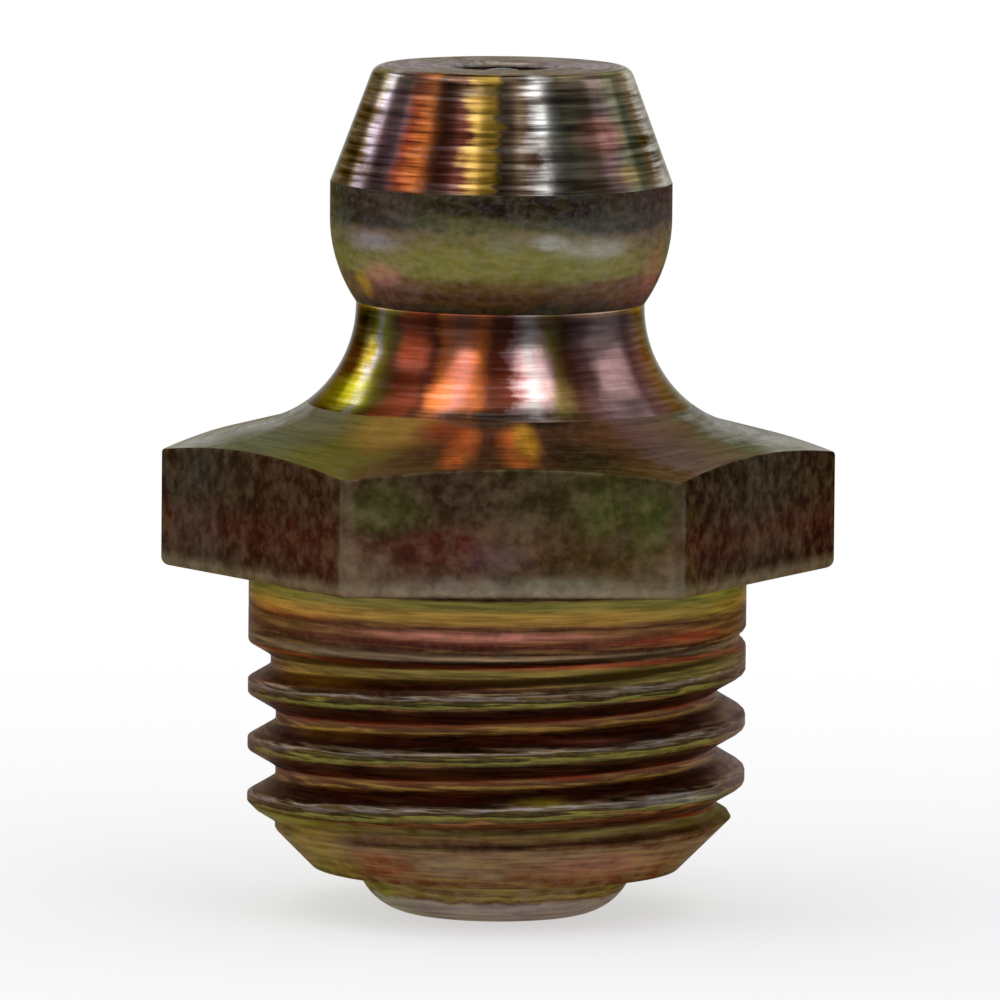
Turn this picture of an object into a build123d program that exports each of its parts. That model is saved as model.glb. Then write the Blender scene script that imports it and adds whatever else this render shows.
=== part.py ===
from build123d import *
from math import atan2, degrees, radians, sin, sqrt, tan
import os

# Straight grease nipple, 3/8-24 UNF, 7/16 in hexagon, standard 6.5 mm head.
#
# Three pieces: the turned and threaded body, the check ball that closes its inlet
# from inside, and the spring that holds the ball up.  Millimetres, +Z up along the
# axis of the nipple, Z = 0 on the underside of the hexagon.

# ---- driving dimensions (mm, degrees) ----------------------------------------
# head, which the coupler of the grease gun grips
crown_z = 9.48
crown_radius = 2.41           # where the cone would meet the flat crown
crown_rounding = 0.25
head_radius = 3.225
land_top = 7.29               # cylindrical land between the cone and the lower round
land_bottom = 6.65
neck_top = 5.02
neck_radius = 2.72

# flare from the neck to the conical top of the hexagon
flare_start = 5.00
flare_end_radius = 4.45       # edge where the flare meets the cone
flare_end = 2.69
hex_top_slope = 14.5          # from level

# hexagon
hex_across_flats = 11.05
hex_corner_rounding = 0.15
hex_foot_chamfer = 0.12

# shank with its thread, 3/8-24 UNF, class 2A
thread_major = 9.40
thread_pitch = 25.4 / 24
thread_root_radius = 4.17
thread_root_flat = 0.16
thread_flank_angle = 30.0
thread_crest_height = -2.30   # of a crest on the -X side
full_depth_top = -1.95        # where the groove starts to come out
runout_turns = 0.9
end_chamfer_top = -4.45       # 45 degree start of the thread
rim_radius = 3.46

# spigot, whose end is rolled inwards to keep the spring
spigot_radius = 2.60
spigot_straight_end = -5.75
spigot_z = -6.55
spigot_end_radius = 1.50      # of the flat that the rolled end leaves

# bore
inlet_radius = 1.00
inlet_lip = 0.50
inlet_chamfer = 0.08
seat_half_angle = 33.0
bore_radius = 1.60
spring_seat_z = -6.10
outlet_radius = 0.75

# ball and spring
ball_radius = 1.25
ball_gap = 0.02               # to the seat above it and to the spring below it
wire = 0.30
spring_foot_gap = 0.01
coil_radius = 1.00
closed_pitch = 0.34
active_turns = 10

# shapes that only cut
reach_past = 1.0              # how far a cutting shape reaches past the face it opens
groove_overhang = 0.07        # how far the groove's section reaches past the crests
runout_overhang = 0.03        # how far outside the shank the groove's root ends
near = 0.01                   # how closely an edge is picked by its place or radius


def at(radius, z):
    """A point of the section, which is drawn in the X-Z plane."""
    return Vector(radius, 0, z)


def turned(section):
    """The solid that a closed half section sweeps around the axis."""
    return revolve(make_face(section), Axis.Z)


# ---- blank of the body, as it leaves the lathe -------------------------------
shank_radius = thread_major / 2
rim_z = end_chamfer_top - (shank_radius - rim_radius)
flange_radius = hex_across_flats / sqrt(3) + reach_past / 2
flange_top = flare_end - (flange_radius - flare_end_radius) * tan(radians(hex_top_slope))

blank = turned(
    [
        Polyline(
            at(0, crown_z),
            at(crown_radius, crown_z),
            at(head_radius, land_top),
            at(head_radius, land_bottom),
        ),
        TangentArc(at(head_radius, land_bottom), at(neck_radius, neck_top), tangent=(0, 0, -1)),
        Line(at(neck_radius, neck_top), at(neck_radius, flare_start)),
        TangentArc(
            at(neck_radius, flare_start), at(flare_end_radius, flare_end), tangent=(0, 0, -1)
        ),
        Polyline(
            at(flare_end_radius, flare_end),
            at(flange_radius, flange_top),
            at(flange_radius, 0),
            at(shank_radius, 0),
            at(shank_radius, end_chamfer_top),
            at(rim_radius, rim_z),
            at(spigot_radius, rim_z),
            at(spigot_radius, spigot_straight_end),
        ),
        TangentArc(
            at(spigot_end_radius, spigot_z), at(spigot_radius, spigot_straight_end), tangent=(1, 0, 0)
        ),
        Polyline(at(spigot_end_radius, spigot_z), at(0, spigot_z), at(0, crown_z)),
    ]
)
circles = blank.edges().filter_by(GeomType.CIRCLE)
crown_edge = circles.filter_by(lambda edge: abs(edge.radius - crown_radius) < near)
blank = fillet(crown_edge, crown_rounding)

# the hexagon bar that the blank is turned from, standing corner to +X
hexagon = RegularPolygon(hex_across_flats / 2, 6, major_radius=False, rotation=0)
bar = extrude(hexagon, crown_z + reach_past, both=True)
bar = fillet(bar.edges().filter_by(Axis.Z), hex_corner_rounding)
blank = blank & bar
foot_edges = blank.edges().filter_by_position(Axis.Z, -near, near)
hexagon_edges = foot_edges.filter_by(lambda edge: edge.length < hex_across_flats)
blank = chamfer(hexagon_edges, hex_foot_chamfer)

# ---- bore: inlet, seat of the ball, spring chamber, outlet --------------------
lip_z = crown_z - inlet_lip
seat_foot_z = lip_z - (bore_radius - inlet_radius) / tan(radians(seat_half_angle))
bore = turned(
    [
        Polyline(
            at(0, crown_z + reach_past),
            at(inlet_radius + inlet_chamfer + reach_past, crown_z + reach_past),
            at(inlet_radius, crown_z - inlet_chamfer),
            at(inlet_radius, lip_z),
            at(bore_radius, seat_foot_z),
            at(bore_radius, spring_seat_z),
            at(outlet_radius, spring_seat_z),
            at(outlet_radius, spigot_z - reach_past),
            at(0, spigot_z - reach_past),
            close=True,
        )
    ]
)

# ---- thread: a groove swept up the shank, which comes out below the hexagon ---
# It starts on the -X side, below the end chamfer and half a pitch off a crest.
groove_start = thread_crest_height - 3.5 * thread_pitch
groove_height = full_depth_top - groove_start
runout_height = runout_turns * thread_pitch
runout_rise = shank_radius + runout_overhang - thread_root_radius
runout_angle = degrees(atan2(runout_rise, runout_height))
full_path = Helix(thread_pitch, groove_height, thread_root_radius)
runout_path = Helix(thread_pitch, runout_height, thread_root_radius, cone_angle=runout_angle)

groove_reach = shank_radius + groove_overhang
half_root = thread_root_flat / 2
half_mouth = half_root + (groove_reach - thread_root_radius) * tan(radians(thread_flank_angle))
groove_section = make_face(
    Polyline(
        at(thread_root_radius, -half_root),
        at(thread_root_radius, half_root),
        at(groove_reach, half_mouth),
        at(groove_reach, -half_mouth),
        close=True,
    )
)
turn_at_top = 360 * groove_height / thread_pitch
groove = Pos(0, 0, groove_start) * sweep(groove_section, path=full_path, is_frenet=True)
runout = Pos(0, 0, full_depth_top) * sweep(groove_section, path=runout_path, is_frenet=True)
groove = groove.rotate(Axis.Z, 180)
runout = runout.rotate(Axis.Z, 180 + turn_at_top)

body = blank - bore - groove - runout
body.label = "body"

# ---- check ball, held against its seat ---------------------------------------
seat_apex_z = lip_z + inlet_radius / tan(radians(seat_half_angle))
ball_z = seat_apex_z - (ball_radius + ball_gap) / sin(radians(seat_half_angle))
check_ball = Pos(0, 0, ball_z) * Sphere(ball_radius)
check_ball.label = "check_ball"

# ---- valve spring, one closed turn at each end -------------------------------
wire_radius = wire / 2
spring_bottom = spring_seat_z + wire_radius + spring_foot_gap
ball_reach = ball_radius + wire_radius + ball_gap
spring_top = ball_z - sqrt(ball_reach**2 - coil_radius**2)
active_height = spring_top - spring_bottom - 2 * closed_pitch
active_pitch = active_height / active_turns


def coil(pitch, height, z):
    """A length of coiled wire that starts on the +X side at the given height."""
    path = Helix(pitch, height, coil_radius)
    section = Plane(origin=path @ 0, z_dir=path % 0) * Circle(wire_radius)
    return Pos(0, 0, z) * sweep(section, path=path, is_frenet=True)


def bend(z):
    """Fills the notch in the wire where a closed turn meets the open ones."""
    return Pos(coil_radius, 0, z) * Sphere(wire_radius)


spring = coil(closed_pitch, closed_pitch, spring_bottom)
spring += coil(active_pitch, active_height, spring_bottom + closed_pitch)
spring += coil(closed_pitch, closed_pitch, spring_top - closed_pitch)
spring += bend(spring_bottom + closed_pitch)
spring += bend(spring_top - closed_pitch)
spring.label = "spring"

os.makedirs("parts", exist_ok=True)
for part in (body, check_ball, spring):
    export_step(part, f"parts/{part.label}.step")
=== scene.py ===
"""Straight grease nipple: a turned, yellow-chromated steel body with its check ball and valve spring.

Laid out as an add-on and run as a script.  Lengths are metres, +Z runs up the axis
of the nipple and Z = 0 is the underside of the hexagon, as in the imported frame.
"""
import math

import bpy
import numpy as np
from bpy.props import FloatProperty, FloatVectorProperty, PointerProperty
from mathutils import Matrix, Vector


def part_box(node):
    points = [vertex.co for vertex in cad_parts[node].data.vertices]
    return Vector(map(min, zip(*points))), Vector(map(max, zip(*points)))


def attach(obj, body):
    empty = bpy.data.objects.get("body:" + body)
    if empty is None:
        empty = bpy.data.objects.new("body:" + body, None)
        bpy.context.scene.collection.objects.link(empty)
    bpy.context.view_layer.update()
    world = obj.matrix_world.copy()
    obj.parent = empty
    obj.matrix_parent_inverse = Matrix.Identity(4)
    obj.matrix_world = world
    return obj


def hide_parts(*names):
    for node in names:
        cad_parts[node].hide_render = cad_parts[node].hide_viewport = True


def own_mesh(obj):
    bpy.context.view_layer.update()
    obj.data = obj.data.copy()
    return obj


bl_info = {
    "name": "Grease nipple",
    "version": (1, 0, 0),
    "blender": (4, 5, 0),
    "location": "View3D > Sidebar > Nipple",
    "description": "Builds the looks of a straight grease nipple around its packed frame",
    "category": "Object",
}

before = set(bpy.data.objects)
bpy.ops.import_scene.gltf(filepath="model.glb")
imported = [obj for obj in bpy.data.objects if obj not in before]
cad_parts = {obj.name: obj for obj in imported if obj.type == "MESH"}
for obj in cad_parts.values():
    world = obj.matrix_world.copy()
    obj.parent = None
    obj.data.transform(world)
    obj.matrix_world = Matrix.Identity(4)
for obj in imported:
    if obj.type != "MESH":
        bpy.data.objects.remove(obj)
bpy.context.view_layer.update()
BODY_LOW, BODY_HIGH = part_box("body")
BALL_LOW, BALL_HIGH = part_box("check_ball")
SPRING_LOW, SPRING_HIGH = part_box("spring")
MM = 0.001


# ---- sizes and colours that a user would change ----
def length(name, description, mm):
    """A length, given in millimetres, that shows in the sidebar."""
    return FloatProperty(name=name, description=description, default=mm * MM, unit="LENGTH", precision=5)


def slant(name, description, degrees):
    """An angle, given in degrees, that shows in the sidebar."""
    return FloatProperty(name=name, description=description, default=math.radians(degrees), subtype="ANGLE")


class NippleSizes(bpy.types.PropertyGroup):
    """Sizes of the turned body, from the crown down, and of its spring."""

    crown_radius: length("Crown radius", "Where the cone would meet the flat crown", 2.41)
    crown_rounding: length("Crown rounding", "Between the crown and the cone", 0.25)
    inlet_radius: length("Inlet radius", "Hole that the grease goes in by", 1.00)
    inlet_lip: length("Inlet lip", "Depth of the inlet above the ball's seat", 0.50)
    head_radius: length("Head radius", "Cylindrical land that the coupler grips", 3.225)
    land_top: length("Top of the land", "Where the cone meets the land", 7.29)
    land_bottom: length("Bottom of the land", "Where the lower round starts", 6.65)
    neck_top: length("Top of the neck", "Where the lower round meets the neck", 5.02)
    neck_radius: length("Neck radius", "Narrowest place under the head", 2.72)
    flare_start: length("Start of the flare", "Where the neck starts to widen", 5.00)
    flare_end_radius: length("Radius at the flare's end", "Where it meets the hexagon's top", 4.45)
    flare_end: length("End of the flare", "Where it meets the hexagon's top", 2.69)
    ring_line: length("Ring line", "Where the two cuts of the flare meet", 3.13)
    corner_rounding: length("Corner rounding", "Upright edges of the hexagon", 0.15)
    thread_pitch: length("Thread pitch", "From crest to crest, 24 to the inch", 25.4 / 24)
    thread_radius: length("Thread radius", "Over the crests", 4.70)
    root_radius: length("Root radius", "At the bottom of the groove", 4.17)
    chamfer_top: length("Top of the end chamfer", "Where the thread starts to thin", -4.45)
    rim_radius: length("Rim radius", "At the foot of the end chamfer", 3.46)
    spigot_radius: length("Spigot radius", "Plain end below the thread", 2.60)
    rolled_top: length("Top of the rolled end", "Where the spigot starts to round inwards", -5.75)
    end_flat: length("End flat", "Radius of the flat that the rolled end leaves", 1.50)
    bore_radius: length("Bore radius", "Chamber of the spring", 1.60)
    spring_seat: length("Spring seat", "Where the spring stands", -6.10)
    outlet_radius: length("Outlet radius", "Hole in the rolled end", 0.75)
    wire_radius: length("Wire radius", "Half the thickness of the spring's wire", 0.15)


def linear(code):
    """An sRGB hex colour as linear red, green and blue, and an alpha of 1."""
    srgb = np.array([int(code[i : i + 2], 16) for i in (1, 3, 5)]) / 255
    return (*np.where(srgb <= 0.04045, srgb / 12.92, ((srgb + 0.055) / 1.055) ** 2.4).tolist(), 1.0)


def tint(name, description, code):
    """A colour that shows in the sidebar."""
    return FloatVectorProperty(
        name=name, description=description, default=linear(code)[:3], subtype="COLOR", min=0.0, max=1.0
    )


class NippleTints(bpy.types.PropertyGroup):
    """Colours that the chromate film takes as its thickness changes, and the bare and dull metals."""

    silver: tint("Silver", "Hardly any film over bright zinc", "#DADBD8")
    rose: tint("Rose", "Pale pink of a second-order film", "#CDAEB0")
    gold: tint("Gold", "Film of the plain yellow kind", "#E2B434")
    orange: tint("Orange", "Thicker yellow film", "#E07A38")
    copper: tint("Copper", "Orange turning to red", "#A5462A")
    maroon: tint("Maroon", "Dark red film", "#5C2A22")
    umber: tint("Umber", "Dark brown film", "#3C2A1E")
    taupe: tint("Taupe", "Grey-brown film", "#86725A")
    olive: tint("Olive", "Dull yellow-green film", "#86803E")
    lime: tint("Lime", "Bright yellow-green film", "#BDB93A")
    green: tint("Green", "Second-order green film", "#54682C")
    sage: tint("Sage", "Grey-green film", "#82866A")
    mauve: tint("Mauve", "Grey-violet film", "#84666C")
    lilac: tint("Lilac", "Pale violet bloom", "#B8AEBE")
    salmon: tint("Salmon", "Pink film on a matt ground", "#C67E70")
    # charcoal also paints the land dark, as a painted reflection of the dim room
    charcoal: tint("Charcoal", "Worn and handled land", "#444640")
    steel: tint("Steel", "Rubbed metal", "#9A9898")
    russet: tint("Russet", "Red-brown film on a matt ground", "#70492F")
    moss: tint("Moss", "Dull dark green film", "#46431E")
    wine: tint("Wine", "Dull dark red film", "#46281E")
    bark: tint("Bark", "Darkest film", "#2C2018")
    ochre: tint("Ochre", "Plain yellow film, worn", "#B38D42")


class StageSettings(bpy.types.PropertyGroup):
    """Where the camera stands."""

    distance: length("Distance", "From the camera to the nipple", 300)
    elevation: slant("Elevation", "Camera above the level", 6.2)
    azimuth: slant("Azimuth", "Camera round from the front", -2.8)
    roll: slant("Roll", "Lean of the camera", 0.54)
    picture_width: length("Picture width", "Seen from side to side at the axis", 1000 / 53)


# ---- helpers ----
def add(tree, kind, inputs=(), operation=None, stops=(), **settings):
    """Adds a node, sets it, feeds its inputs, and gives its ramp the stops.

    The inputs are a dictionary, or a row that starts at the first socket.  Each is a value,
    a socket, or a node, which stands for the first output that it has in use.
    """
    made = tree.nodes.new("ShaderNode" + kind)
    if operation:
        made.operation = operation
    for name, value in settings.items():
        setattr(made, name, value)
    for key, value in inputs.items() if isinstance(inputs, dict) else enumerate(inputs):
        if isinstance(value, bpy.types.Node):
            value = next(output for output in value.outputs if output.enabled)
        if isinstance(value, bpy.types.NodeSocket):
            tree.links.new(value, made.inputs[key])
        else:
            made.inputs[key].default_value = value
    for i, (place, colour) in enumerate(stops):
        elements = made.color_ramp.elements
        element = elements[i] if i < len(elements) else elements.new(1.0)
        element.position, element.color = place, colour
    return made


def new_material(name):
    """An empty material and its node tree."""
    made = bpy.data.materials.new(name)
    made.use_nodes = True
    made.node_tree.nodes.clear()
    return made, made.node_tree


def surface(name, points, closed=False, tips=None):
    """A mesh object over a grid of points, rows by columns.

    The columns close on themselves, and the rows too where closed is set.  Tips are
    the two points that close the first and the last row instead, each by a fan.
    """
    rows, columns = points.shape[:2]
    number = np.arange(rows * columns).reshape(rows, columns)
    if closed:
        number = np.vstack([number, number[:1]])
    turned = np.roll(number, -1, axis=1)
    quads = np.stack([number[:-1], number[1:], turned[1:], turned[:-1]], axis=-1)
    faces = quads.reshape(-1, 4).tolist()
    corners = points.reshape(-1, 3)
    if tips is not None:
        tip = np.full(columns, len(corners))
        faces += np.stack([tip, number[0], turned[0]], axis=-1).tolist()
        faces += np.stack([tip + 1, turned[-1], number[-1]], axis=-1).tolist()
        corners = np.vstack([corners, tips])
    mesh = bpy.data.meshes.new(name)
    mesh.from_pydata(corners.tolist(), [], faces)
    mesh.shade_smooth()
    made = bpy.data.objects.new(name, mesh)
    bpy.context.scene.collection.objects.link(made)
    return made


def smoothstep(value, low, high):
    """0 below low, 1 above high, and share^2 x (3 - 2 x share) between them."""
    share = np.clip((value - low) / (high - low), 0, 1)
    return share * share * (3 - 2 * share)


def round_axis(radius, angle, z):
    """Points at a distance from the axis, an angle round it and a height."""
    parts = np.broadcast_arrays(radius * np.cos(angle), radius * np.sin(angle), z)
    return np.stack(parts, axis=-1)


# ---- body: the outline of the turned blank, carried round the axis ----
SIDES = 6
COLUMNS_PER_SIDE = 50
ARC_SHARE = 0.98         # of the largest arc that fits a corner, which leaves a short straight leg
CROWDING = 0.86          # how much closer the columns stand at the hexagon's corners
HEX_TOP_SLOPE = math.radians(14.5)
CREST_Z = -2.30 * MM     # a crest of the thread, on the -X side
FULL_DEPTH_TOP = -1.95 * MM
RUNOUT_TURNS = 0.9
RUNOUT_OVERHANG = 0.03 * MM
ROOT_FLAT = 0.16 * MM
FLANK_ANGLE = math.radians(30)
CREST_WEAR = 0.05 * MM   # over which the crests of the thread are rounded
SEAT_HALF_ANGLE = math.radians(33)
ZONES = (
    "crown", "head", "land", "round", "neck", "flare", "top", "flats", "underside", "thread", "chamfer",
    "end", "bore",
)
# how far the wear reaches from the edge above each of these zones, and from the upright corners
WORN_EDGES = {"head": 0.05 * MM, "land": 0.03 * MM, "flats": 0.07 * MM, "underside": 0.12 * MM}
UPRIGHT_REACH = 0.12 * MM
CLOSING = 1.001          # length of the outline where it meets its start, over the last row's


def column_angles():
    """Angles round the axis, closer together near the hexagon's corners: even shares of a side, each
    moved back by CROWDING x the sine of that share of a turn / (2 x pi).
    """
    share = np.arange(COLUMNS_PER_SIDE) / COLUMNS_PER_SIDE
    eased = share - CROWDING * np.sin(2 * np.pi * share) / (2 * np.pi)
    return ((np.arange(SIDES)[:, None] + eased) * 2 * np.pi / SIDES).ravel()


def from_corner(angle):
    """How far round the axis an angle lies from the nearest corner of the hexagon."""
    return (angle + np.pi / SIDES) % (2 * np.pi / SIDES) - np.pi / SIDES


def hexagon_radius(angle, flats, rounding):
    """Distance from the axis to a hexagon with rounded corners, one of them at angle 0.

    Half the width over the flats / the cosine of the angle from the nearest flat's
    middle, and within the rounding the far side of the circle that fills the corner.
    """
    away = np.abs(from_corner(angle))
    flat = flats / 2 / np.cos(np.pi / SIDES - away)
    centre = (flats / 2 - rounding) / math.cos(np.pi / SIDES)
    aside = np.clip(rounding**2 - (centre * np.sin(away)) ** 2, 0, None)
    touch = math.atan2(
        rounding * math.sin(np.pi / SIDES), centre + rounding * math.cos(np.pi / SIDES)
    )
    return np.where(away < touch, centre * np.cos(away) + np.sqrt(aside), flat)


def thread_radius(size, angle, z):
    """Distance from the axis to the threaded shank.

    A crest rises one pitch in a turn.  The grooves lie half a pitch from the crests,
    with a flat root and flanks at 30 degrees, and above the full depth their root
    rises in a straight line along the helix until it leaves the shank.
    """
    crest = CREST_Z + size.thread_pitch * (angle - np.pi) / (2 * np.pi)
    below = np.floor((z - crest) / size.thread_pitch - 0.5) + 0.5
    runout = RUNOUT_TURNS * size.thread_pitch
    radius = np.full(np.broadcast(angle, z).shape, float(size.thread_radius))
    for turn in (below, below + 1):
        path = crest + turn * size.thread_pitch
        rise = np.clip((path - FULL_DEPTH_TOP) / runout, 0, 1)
        root = size.root_radius + rise * (size.thread_radius + RUNOUT_OVERHANG - size.root_radius)
        aside = np.clip(np.abs(z - path) - ROOT_FLAT / 2, 0, None)
        aside = np.hypot(aside, CREST_WEAR / 2) - CREST_WEAR / 2
        groove = root + aside / math.tan(FLANK_ANGLE)
        blend = np.clip(CREST_WEAR - np.abs(groove - radius), 0, None) ** 2 / (4 * CREST_WEAR)
        radius = np.minimum(groove, radius) - blend
    return radius


def rounded_outline(corners, radii, arc_rows, leg_rows):
    """Rows of points down a closed outline, with every corner rounded, for all columns at once.

    A corner becomes the arc that touches both of its legs, radius x tan(half the turn)
    from the corner, and each leg is divided evenly from one arc to the next.
    """
    before = np.roll(corners, 1, axis=0) - corners
    after = np.roll(corners, -1, axis=0) - corners
    before /= np.linalg.norm(before, axis=-1, keepdims=True)
    after /= np.linalg.norm(after, axis=-1, keepdims=True)
    half_turn = (np.pi - np.arccos(np.clip((before * after).sum(-1, keepdims=True), -1, 1))) / 2
    touch = radii[:, None, None] * np.tan(half_turn)
    start, end = corners + before * touch, corners + after * touch
    inward = before + after
    inward /= np.linalg.norm(inward, axis=-1, keepdims=True)
    centre = corners + inward * radii[:, None, None] / np.cos(half_turn)
    next_start = np.roll(start, -1, axis=0)
    rows = []
    for i in range(len(corners)):
        share = (np.arange(arc_rows[i]) / max(arc_rows[i], 1))[:, None, None]
        turn = 2 * half_turn[i]
        arc = (start[i] - centre[i]) * np.sin((1 - share) * turn)
        arc += (end[i] - centre[i]) * np.sin(share * turn)
        rows.append(centre[i] + arc / np.sin(turn))
        share = (np.arange(leg_rows[i]) / leg_rows[i])[:, None, None]
        rows.append(end[i] + (next_start[i] - end[i]) * share)
    return np.vstack(rows)


def tangent_arc(ahead, aside):
    """Radius of the arc that leaves a straight line and ends ahead along it and aside from it, and
    how far along that line its two end tangents cross: (ahead^2 + aside^2) / (2 x aside), and that
    radius x tan(half the arc's turn).
    """
    radius = (ahead**2 + aside**2) / (2 * aside)
    return radius, radius * math.tan(math.asin(ahead / radius) / 2)


def body_outline(size, angle):
    """The body's outline in (radius, height) for every column, and the zone of each row.

    It runs from the ball's seat up the inlet, over the crown, down the outside, in
    at the rolled end and up the bore again.
    """
    crown_z, end_z = BODY_HIGH.z, BODY_LOW.z
    side = hexagon_radius(angle, BODY_HIGH.y - BODY_LOW.y, size.corner_rounding)
    side_top = size.flare_end - (side - size.flare_end_radius) * math.tan(HEX_TOP_SLOPE)
    round_radius, round_reach = tangent_arc(
        size.land_bottom - size.neck_top, size.head_radius - size.neck_radius
    )
    flare_radius, flare_reach = tangent_arc(
        size.flare_start - size.flare_end, size.flare_end_radius - size.neck_radius
    )
    end_radius, end_reach = tangent_arc(size.spigot_radius - size.end_flat, size.rolled_top - end_z)
    rim_z = size.chamfer_top - (size.thread_radius - size.rim_radius)
    lip_z = crown_z - size.inlet_lip
    seat_foot = lip_z - (size.bore_radius - size.inlet_radius) / math.tan(SEAT_HALF_ANGLE)
    # radius, height, rounding in mm, rows on the arc, rows down to the next corner, zone
    corners = [
        (size.inlet_radius, lip_z, 0.04, 2, 4, "bore"),
        (size.inlet_radius, crown_z, 0.10, 6, 7, "crown"),
        (size.crown_radius, crown_z, size.crown_rounding / MM, 7, 70, "head"),
        (size.head_radius, size.land_top, 0.10, 4, 8, "land"),
        (size.head_radius, size.land_bottom - round_reach, ARC_SHARE * round_radius / MM, 26, 1, "round"),
        (size.neck_radius, size.neck_top, 0.05, 4, 2, "neck"),
        (size.neck_radius, size.flare_start - flare_reach, ARC_SHARE * flare_radius / MM, 34, 1, "flare"),
        (size.flare_end_radius, size.flare_end, 0.08, 3, 14, "top"),
        (side, side_top, 0.07, 5, 14, "flats"),
        (side, 0.0, 0.17, 6, 5, "underside"),
        (size.thread_radius, 0.0, 0.05, 3, 96, "thread"),
        (size.thread_radius, size.chamfer_top, 0.0, 0, 24, "chamfer"),
        (size.rim_radius, rim_z, 0.06, 3, 4, "end"),
        (size.spigot_radius, rim_z, 0.05, 2, 3, "end"),
        (size.spigot_radius, size.rolled_top, 0.05, 2, 1, "end"),
        (size.end_flat + end_reach, end_z, ARC_SHARE * end_radius / MM, 12, 5, "end"),
        (size.outlet_radius, end_z, 0.12, 4, 2, "end"),
        (size.outlet_radius, size.spring_seat, 0.03, 2, 3, "bore"),
        (size.bore_radius, size.spring_seat, 0.05, 2, 5, "bore"),
        (size.bore_radius, seat_foot, 0.0, 0, 4, "bore"),
    ]
    ones = np.ones_like(angle)
    places = np.stack([np.stack([r * ones, z * ones], axis=-1) for r, z, *_ in corners])
    radii = np.array([c[2] for c in corners]) * MM
    arc_rows = [c[3] for c in corners]
    leg_rows = [c[4] for c in corners]
    rows = rounded_outline(places, radii, arc_rows, leg_rows)
    zone = np.repeat([ZONES.index(c[5]) for c in corners], np.add(arc_rows, leg_rows))
    second_cut = (zone == ZONES.index("flare")) & (rows[:, 0, 1] < size.ring_line)
    zone[second_cut] = ZONES.index("top")
    return rows, zone


def in_zones(zone, names):
    """Which rows lie in the named zones, as a column."""
    return np.isin(zone, [ZONES.index(name) for name in names])[:, None]


def edge_wear(rows, zone, along, angle):
    """How far each vertex is rubbed, 0 to 1: exp(-(distance from the nearest worn edge / reach)^2),
    for the edges that run round the body and, on the hexagon's sides, for its upright corners.
    """
    kept = np.ones_like(along)
    for lower, reach in WORN_EDGES.items():
        first = np.argmax(zone == ZONES.index(lower))
        kept *= 1 - np.exp(-(((along - along[first]) / reach) ** 2))
    upright = np.exp(-((rows[..., 0] * from_corner(angle) / UPRIGHT_REACH) ** 2))
    kept *= 1 - upright * in_zones(zone, ("flats", "underside"))
    return 1 - kept


def stains(radius, z, zone, angle, tints):
    """Colour of the patches at every vertex, film stains and painted highlights, reflections and shade alike,
    and how far they cover the film there.

    A patch is cover x exp(-(d^2)^2), where d is the distance from its middle over its
    half width and half height, and each is laid over the ones before it.
    """
    from_front = np.degrees(angle) + 90
    colour, cover = np.zeros((*radius.shape, 3)), np.zeros(radius.shape)
    for finish, settings in FINISHES.items():
        on = in_zones(zone, [name for name in ZONES if ZONE_FINISH.get(name, name) == finish])
        for degrees, mm, half_width, half_height, tint_name, strength in settings["stains"]:
            across = radius * np.radians((from_front - degrees + 180) % 360 - 180)
            away = (across / (half_width * MM)) ** 2 + ((z - mm * MM) / (half_height * MM)) ** 2
            mask = on * strength * np.exp(-(away**2))
            colour += mask[..., None] * (np.array(getattr(tints, tint_name)) - colour)
            cover += mask * (1 - cover)
    return np.concatenate([colour / np.clip(cover, 1e-4, None)[..., None], cover[..., None]], axis=-1)


class NIPPLE_OT_body(bpy.types.Operator):
    """The turned body: its outline carried round the axis, with the hexagon and the thread"""

    bl_idname = "nipple.body"
    bl_label = "Body"

    def execute(self, context):
        size = context.scene.nipple_sizes
        angle = column_angles()
        rows, zone = body_outline(size, angle)
        radius, z = rows[..., 0], rows[..., 1]
        cut = np.clip(radius - thread_radius(size, angle, z), 0, None) * in_zones(zone, ("thread", "chamfer"))
        radius = radius - cut
        piece = surface("nipple_body", round_axis(radius, angle, z), closed=True)
        step = np.linalg.norm(np.diff(rows, axis=0, prepend=rows[:1]), axis=-1)
        along = np.cumsum(step.mean(axis=1))[:, None] * np.ones_like(angle)
        groove = cut / (size.thread_radius - size.root_radius)
        wear = edge_wear(rows, zone, along, angle)
        for name, values in (("along", along), ("wear", wear), ("groove", groove)):
            layer = piece.data.attributes.new(name, "FLOAT", "POINT")
            layer.data.foreach_set("value", np.ascontiguousarray(values, dtype=np.float32).ravel())
        tints = context.scene.nipple_tints
        layer = piece.data.attributes.new("stain", "FLOAT_COLOR", "POINT")
        layer.data.foreach_set("color", stains(radius, z, zone, angle, tints).astype(np.float32).ravel())
        for finish in FINISHES:
            piece.data.materials.append(plated_steel(finish, size, tints))
        finishes = list(FINISHES)
        slot = np.array([finishes.index(ZONE_FINISH.get(name, name)) for name in ZONES])[zone]
        piece.data.polygons.foreach_set("material_index", np.repeat(slot, len(angle)).astype(np.int32))
        # the UV map runs over shares of a turn by shares of the outline's length
        share = np.arange(len(angle) + 1) / len(angle)
        length_share = np.vstack([along, along[-1:] * CLOSING]).mean(axis=1) / along.max()
        uv = np.stack(np.meshgrid(share, length_share), axis=-1)
        corners = np.stack([uv[:-1, :-1], uv[1:, :-1], uv[1:, 1:], uv[:-1, 1:]], axis=2)
        layer = piece.data.uv_layers.new(name="OFBake")
        layer.data.foreach_set("uv", corners.astype(np.float32).ravel())
        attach(piece, "body")
        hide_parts("body")
        return {"FINISHED"}


# ---- check ball and valve spring ----
BALL_ROWS, BALL_COLUMNS = 50, 96
SPRING_TURNS = 12
CLOSED_PITCH = 0.34 * MM     # of the one closed turn at each end
OPENING = 0.1                # turns before and after its end, over which a closed turn opens
ROWS_PER_TURN, WIRE_SIDES = 48, 18


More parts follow.
